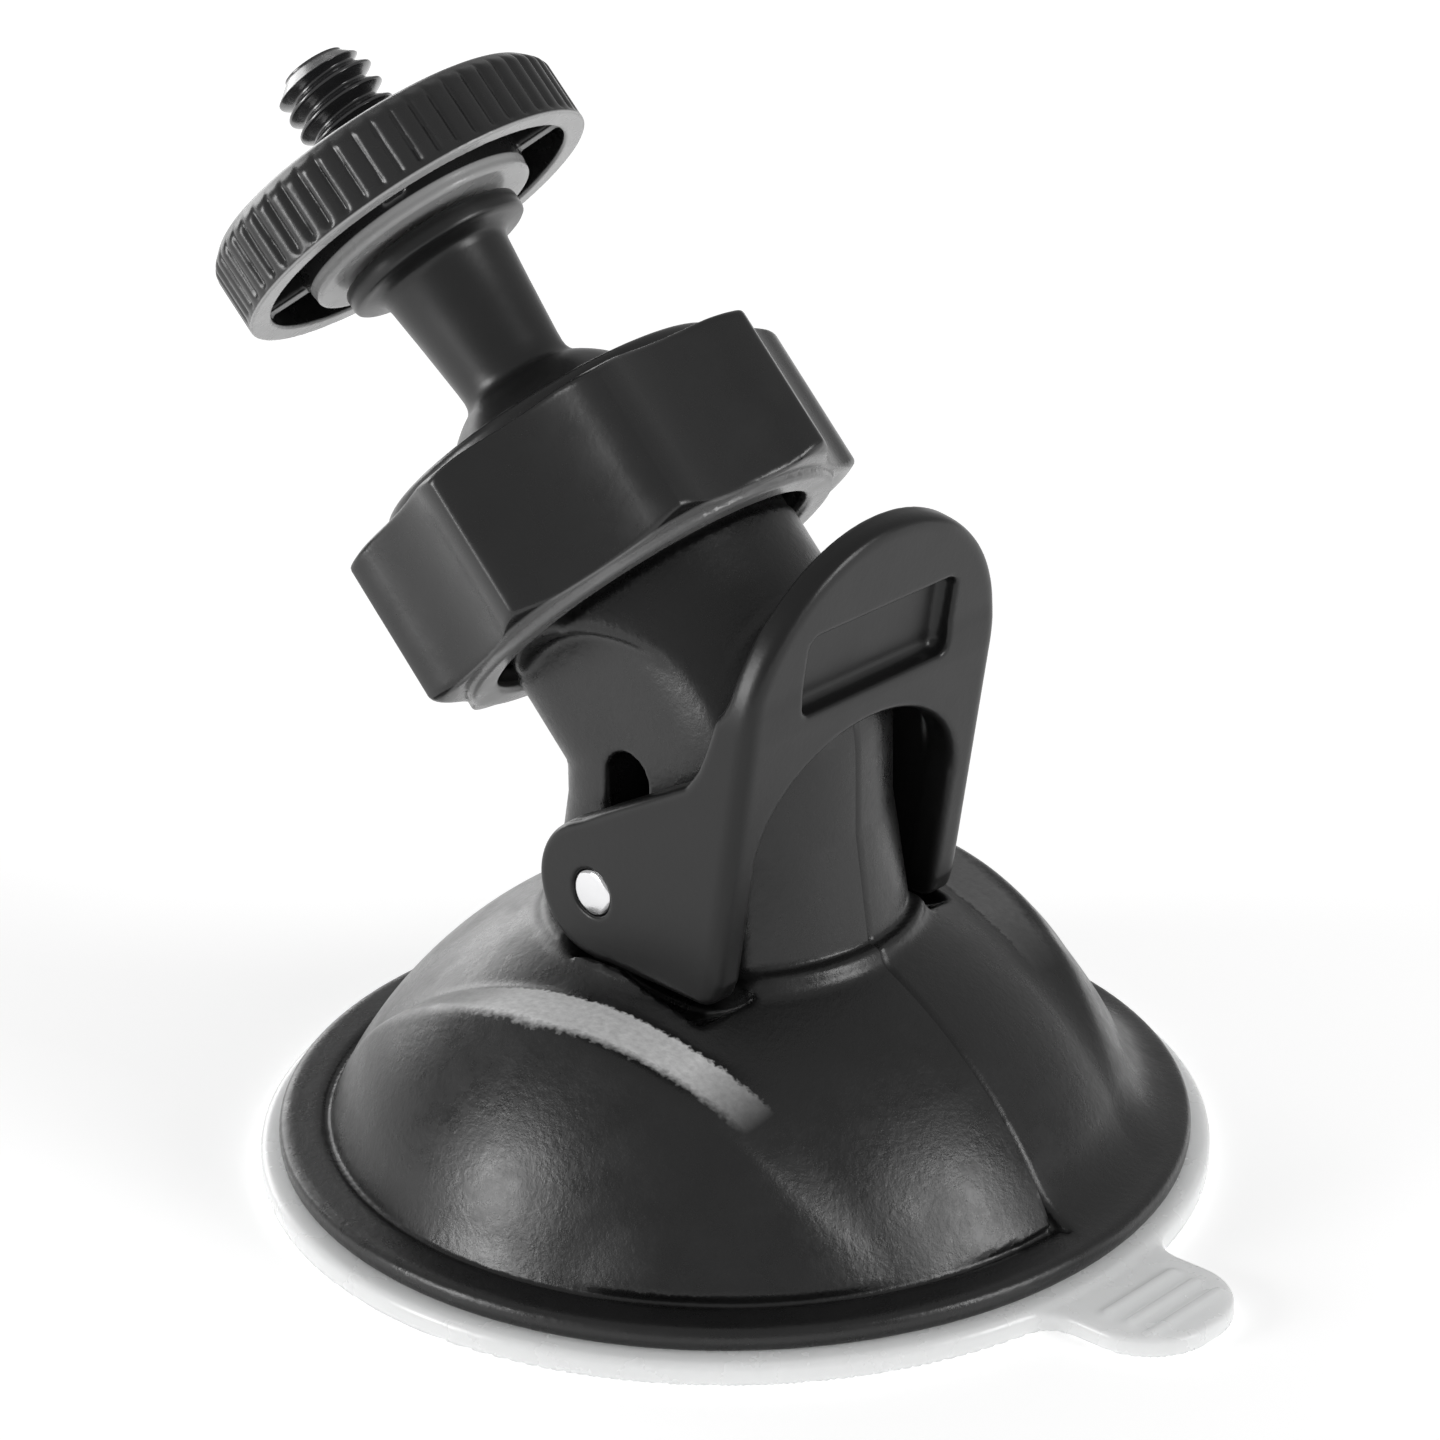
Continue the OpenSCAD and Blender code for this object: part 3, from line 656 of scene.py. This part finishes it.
WIRE_R, COIL_R, COIL_TURNS = 0.4, 5.3, 4
WIRE_SIDES, TURN_STEPS = 12, 48


def spring():
    """Open coil of round wire between the pad's core and the housing."""
    steps = TURN_STEPS * COIL_TURNS
    low, high = SPRING_LOW[2] + WIRE_R, SPRING_HIGH[2] - WIRE_R
    section = np.arange(WIRE_SIDES) * 2 * math.pi / WIRE_SIDES
    points = []
    for t in np.linspace(0, 1, steps + 1):
        turn = 2 * math.pi * COIL_TURNS * t
        out = COIL_R + WIRE_R * np.cos(section)
        points.append(np.stack([PIN_X + out * math.cos(turn), out * math.sin(turn),
                                low + (high - low) * t + WIRE_R * np.sin(section)], -1))
    faces = []
    for row in range(0, steps * WIRE_SIDES, WIRE_SIDES):
        for k in range(WIRE_SIDES):
            n = (k + 1) % WIRE_SIDES
            faces.append([row + k, row + WIRE_SIDES + k, row + WIRE_SIDES + n, row + n])
    faces.append(list(range(WIRE_SIDES)))
    faces.append([steps * WIRE_SIDES + k for k in reversed(range(WIRE_SIDES))])
    return mesh_object("return_spring_coil", np.concatenate(points), faces)


# ---------------------------------------------------------------- materials

def new_material(name, **values):
    material = bpy.data.materials.new(name)
    material.use_nodes = True
    shader = material.node_tree.nodes["Principled BSDF"]
    for key, value in values.items():
        shader.inputs[key].default_value = value
    return material, material.node_tree, shader


def own_place(tree):
    """The point's own place in its piece, in metres."""
    return tree.nodes.new("ShaderNodeTexCoord").outputs["Object"]


def noise(tree, scale, detail=4.0, rough=0.55):
    node = tree.nodes.new("ShaderNodeTexNoise")
    node.inputs["Scale"].default_value = scale
    node.inputs["Detail"].default_value = detail
    node.inputs["Roughness"].default_value = rough
    tree.links.new(own_place(tree), node.inputs["Vector"])
    return node.outputs["Fac"]


def spread(tree, value, low, high, at=(0.3, 0.7)):
    """Maps the stretch given by at onto low to high, and stops there."""
    node = tree.nodes.new("ShaderNodeMapRange")
    node.inputs["From Min"].default_value, node.inputs["From Max"].default_value = at
    node.inputs["To Min"].default_value, node.inputs["To Max"].default_value = low, high
    tree.links.new(value, node.inputs["Value"])
    return node.outputs["Result"]


def grey(level):
    return level, level, level


def between(tree, value, first, second):
    """Mixes two colours, each of them red, green and blue or the output of a node."""
    node = tree.nodes.new("ShaderNodeMix")
    node.data_type = "RGBA"
    for key, colour in (("A", first), ("B", second)):
        if isinstance(colour, tuple):
            node.inputs[key].default_value = (*colour, 1)
        else:
            tree.links.new(colour, node.inputs[key])
    tree.links.new(value, node.inputs["Factor"])
    return node.outputs["Result"]


def calc(tree, operation, *values):
    node = tree.nodes.new("ShaderNodeMath")
    node.operation = operation
    for socket, value in zip(node.inputs, values):
        if isinstance(value, (int, float)):
            socket.default_value = value
        else:
            tree.links.new(value, socket)
    return node.outputs[0]


def surface(tree, shader, colour, rough, height, distance, strength):
    """Sets a shader's colour and roughness, and its bump from a height that many metres deep."""
    node = tree.nodes.new("ShaderNodeBump")
    node.inputs["Distance"].default_value = distance
    node.inputs["Strength"].default_value = strength
    tree.links.new(height, node.inputs["Height"])
    tree.links.new(node.outputs["Normal"], shader.inputs["Normal"])
    tree.links.new(colour, shader.inputs["Base Color"])
    tree.links.new(rough, shader.inputs["Roughness"])


def black_plastic(name, grain=1.0, rough=(0.30, 0.38), dark=0.008, shine=0.5, end=None):
    """Satin plastic. A paler end face, a painted reflection of the floor, is given by an axis, its
    height on it and its grey.
    """
    material, tree, shader = new_material(name, **{"IOR": 1.5, "Specular IOR Level": shine})
    pale = (dark * 1.35, dark * 1.35, dark * 1.37)
    colour = between(tree, spread(tree, noise(tree, 90, 5), 0, 1), grey(dark), pale)
    # painted reflection of the floor: the end face below the given height is coloured a paler grey
    if end:
        axis, height, level = end
        colour = between(tree, below(tree, axis, height), colour, grey(level))
    rough = spread(tree, noise(tree, 420, 4), *rough)
    surface(tree, shader, colour, rough, noise(tree, 2600, 3), 0.00003 * grain, 0.5)
    return material


def below(tree, axis, height):
    """1 up to a height along an axis through the ball's middle, 0 a fifth of a millimetre above."""
    up = tree.nodes.new("ShaderNodeVectorMath")
    up.operation = "DOT_PRODUCT"
    up.inputs[1].default_value = tuple(axis)
    tree.links.new(own_place(tree), up.inputs[0])
    edge = (float(BALL @ axis) + height) * MM
    return spread(tree, up.outputs["Value"], 1, 0, (edge + 0.0001, edge + 0.0002))


def apron_highlight_band(tree):
    """1 on the upper edge of the near apron, where a highlight is painted, less on the far one, 0
    elsewhere.
    """
    parts = tree.nodes.new("ShaderNodeSeparateXYZ")
    tree.links.new(own_place(tree), parts.inputs[0])
    x, y, z = parts.outputs
    ragged = calc(tree, "MULTIPLY", calc(tree, "SUBTRACT", noise(tree, 2600, 4), 0.5), 0.0009)
    across = calc(tree, "ADD", calc(tree, "ABSOLUTE", y), ragged)
    inner = calc(tree, "ADD", across, calc(tree, "MULTIPLY", x, 0.12))
    ahead = calc(tree, "MULTIPLY", calc(tree, "MAXIMUM", x, 0), 0.22)
    outer = calc(tree, "ADD", across, ahead)
    limits = (
        (outer, 1, 0, (0.0177, 0.0184)),
        (x, 1, 0, (0.0095, 0.0145)),
        (x, 0, 1, (-0.0085, -0.0035)),
        (y, 1, 0.15, (-0.001, 0.001)),
        (z, 0, 1, (0.008, 0.010)))
    highlight_mask = spread(tree, inner, 0, 1, (0.01395, 0.01415))
    for limit in limits:
        highlight_mask = calc(tree, "MULTIPLY", highlight_mask, spread(tree, *limit))
    return highlight_mask


def dome_plastic(name):
    material, tree, shader = new_material(name, **{"IOR": 1.5})
    highlight_mask = apron_highlight_band(tree)
    cloud = spread(tree, noise(tree, 90, 5), 0, 1)
    plain = between(tree, cloud, grey(0.007), (0.010, 0.010, 0.0102))
    # painted highlight: pale greys laid on the black plastic along the aprons' upper edges
    painted_highlight = between(tree, noise(tree, 2200, 3), grey(0.42), grey(0.85))
    rough = calc(tree, "ADD", spread(tree, noise(tree, 340, 6, 0.7), 0.20, 0.40),
                 calc(tree, "MULTIPLY", highlight_mask, 0.25))
    surface(tree, shader, between(tree, highlight_mask, plain, painted_highlight), rough,
            noise(tree, 1900, 5, 0.7), 0.00006, 0.6)
    return material


def clear_pvc(name):
    material, tree, shader = new_material(name, **{
        "IOR": 1.5, "Transmission Weight": 0.12, "Subsurface Weight": 0.6,
        "Subsurface Scale": 0.004, "Subsurface Radius": (1, 1, 1)})
    cloud = spread(tree, noise(tree, 60), 0, 1)
    colour = between(tree, cloud, (0.83, 0.84, 0.84), (0.88, 0.89, 0.89))
    surface(tree, shader, colour, spread(tree, noise(tree, 300), 0.2, 0.32),
            noise(tree, 700, 2), 0.00003, 0.4)
    return material


def steel(name, rough, colour=(0.86, 0.86, 0.87)):
    material, tree, shader = new_material(name, **{"Metallic": 1.0})
    dull = tuple(0.92 * c for c in colour)
    tint = between(tree, spread(tree, noise(tree, 400), 0, 1), dull, colour)
    surface(tree, shader, tint, spread(tree, noise(tree, 1200), rough, rough + 0.08),
            noise(tree, 2400, 2), 0.00001, 0.4)
    return material


def black_oxide(name):
    material, tree, shader = new_material(name, **{
        "IOR": 1.6, "Coat Weight": 0.6, "Coat Roughness": 0.12})
    patches = spread(tree, noise(tree, 500), 0, 1)
    colour = between(tree, patches, (0.010, 0.010, 0.011), (0.022, 0.022, 0.023))
    surface(tree, shader, colour, spread(tree, noise(tree, 900), 0.16, 0.30),
            noise(tree, 2500, 3), 0.00002, 0.5)
    return material


# ---------------------------------------------------------------- pieces

def show(piece, body, node, material):
    """A piece that rides on one body in place of one CAD node."""
    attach(piece, body)
    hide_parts(node)
    piece.data.materials.append(material)


def carry(node, material):
    """A CAD node that stays, with its own finish."""
    piece = frame["nodes"][node]
    piece.data.materials.clear()
    piece.data.materials.append(material)


dome_black = dome_plastic("satin_black_base")
lever_black = black_plastic("satin_black_lever", grain=0.5, rough=(0.28, 0.36), dark=0.007,
                            shine=0.36)
# painted reflection of the floor on the ring's lower end face
ring_black = black_plastic("satin_black_ring", grain=0.5, rough=(0.24, 0.32), dark=0.010,
                           end=(NECK_AXIS, RING_LOW, 0.16))
stud_black = black_plastic("satin_black_stud", grain=0.4)
# painted reflection of the floor on the wheel's lower end face and hub
wheel_black = black_plastic("satin_black_wheel", grain=0.5, rough=(0.22, 0.32), dark=0.012,
                            end=(STUD_AXIS, WHEEL_LOW, 0.35))
inner_grey = black_plastic("moulded_grey", grain=0.8, rough=(0.45, 0.55), dark=0.06)

show(housing(), "base", "base_housing", dome_black)
show(lever(), "lever_body", "lever", lever_black)
show(ring(), "ring", "locking_ring", ring_black)
show(wheel(), "wheel", "thumbwheel", wheel_black)
show(stud(), "stud", "ball_stud", stud_black)
show(screw(), "stud", "camera_screw", black_oxide("black_oxide"))
show(pin(), "draw", "pivot_pin", steel("polished_steel", 0.12))

# the pad is built once in its resting shape, its rim on the glass
soft_pad = pad()
soft_pad.data.materials.append(clear_pvc("clear_pvc"))
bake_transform(soft_pad)
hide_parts("suction_pad")

for node in ("pad_core", "draw_shaft", "ball_seat"):
    carry(node, inner_grey)

# the coil is built once, at its resting length
coil = spring()
coil.data.materials.append(steel("spring_wire", 0.3, (0.6, 0.6, 0.61)))
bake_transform(coil)
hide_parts("return_spring")


# ---------------------------------------------------------------- floor, light and camera

FLOOR_HALF, FLOOR_UNDER = 3000.0, 0.00005
FLOOR_GLOW, SKY_GLOW = 0.42, 0.42


def studio():
    """Pale floor, soft even light all round, and true colours for a white background."""
    corner = np.array([[-1, -1, 0], [1, -1, 0], [1, 1, 0], [-1, 1, 0]])
    floor = mesh_object("floor", corner * FLOOR_HALF, [[0, 1, 2, 3]])
    material, tree, shader = new_material("pale_floor", **{
        "Roughness": 0.85, "Specular IOR Level": 0.1, "Emission Strength": FLOOR_GLOW})
    colour = between(tree, noise(tree, 3), grey(0.93), grey(0.95))
    tree.links.new(colour, shader.inputs["Base Color"])
    tree.links.new(colour, shader.inputs["Emission Color"])
    floor.data.materials.append(material)
    floor.location.z = -FLOOR_UNDER
    world = bpy.data.worlds.new("studio")
    world.use_nodes = True
    sky = world.node_tree.nodes["Background"]
    sky.inputs["Color"].default_value = (1, 1, 1, 1)
    sky.inputs["Strength"].default_value = SKY_GLOW
    bpy.context.scene.world = world
    bpy.context.scene.view_settings.view_transform = "Standard"


CAMERA_TURN, CAMERA_LIFT, CAMERA_ROLL = 42.65, 23.8, -0.78
CAMERA_PLACE, CAMERA_LENS = (0.18936, -0.20645, 0.15269), 124.8
LIGHT_AWAY, LIGHT_UP = 0.8, 0.03


def softbox(name, turn, lift, size, glow):
    """A soft light that many degrees round from the camera and above the floor."""
    turn, lift = math.radians(CAMERA_TURN - 90 + turn), math.radians(lift)
    toward = Vector((math.cos(turn) * math.cos(lift), math.sin(turn) * math.cos(lift),
                     math.sin(lift)))
    light = bpy.data.lights.new(name, "AREA")
    light.shape, light.size, light.size_y = "RECTANGLE", size[0], size[1]
    light.energy = glow * math.pi * size[0] * size[1]
    lamp = bpy.data.objects.new(name, light)
    lamp.location = toward * LIGHT_AWAY + Vector((0, 0, LIGHT_UP))
    lamp.rotation_euler = toward.to_track_quat("Z", "Y").to_euler()
    bpy.context.scene.collection.objects.link(lamp)


def camera():
    turn, lift, roll = (math.radians(v) for v in (CAMERA_TURN, CAMERA_LIFT, CAMERA_ROLL))
    back = Vector((math.sin(turn) * math.cos(lift), -math.cos(turn) * math.cos(lift),
                   math.sin(lift)))
    right = Vector((math.cos(turn), math.sin(turn), 0))
    up = back.cross(right)
    across = right * math.cos(roll) + up * math.sin(roll)
    upward = up * math.cos(roll) - right * math.sin(roll)
    data = bpy.data.cameras.new("camera")
    data.lens, data.sensor_width = CAMERA_LENS, 36
    data.clip_start, data.clip_end = 0.01, 50
    eye = bpy.data.objects.new("camera", data)
    facing = Matrix((across, upward, back)).transposed().to_4x4()
    eye.matrix_world = Matrix.Translation(CAMERA_PLACE) @ facing
    bpy.context.scene.collection.objects.link(eye)
    bpy.context.scene.camera = eye


studio()
softbox("softbox_right", 64, 20, (0.22, 0.42), 9)
softbox("softbox_left", -70, 8, (0.26, 0.36), 11)
softbox("softbox_back", -145, 12, (0.60, 0.35), 3.2)
camera()
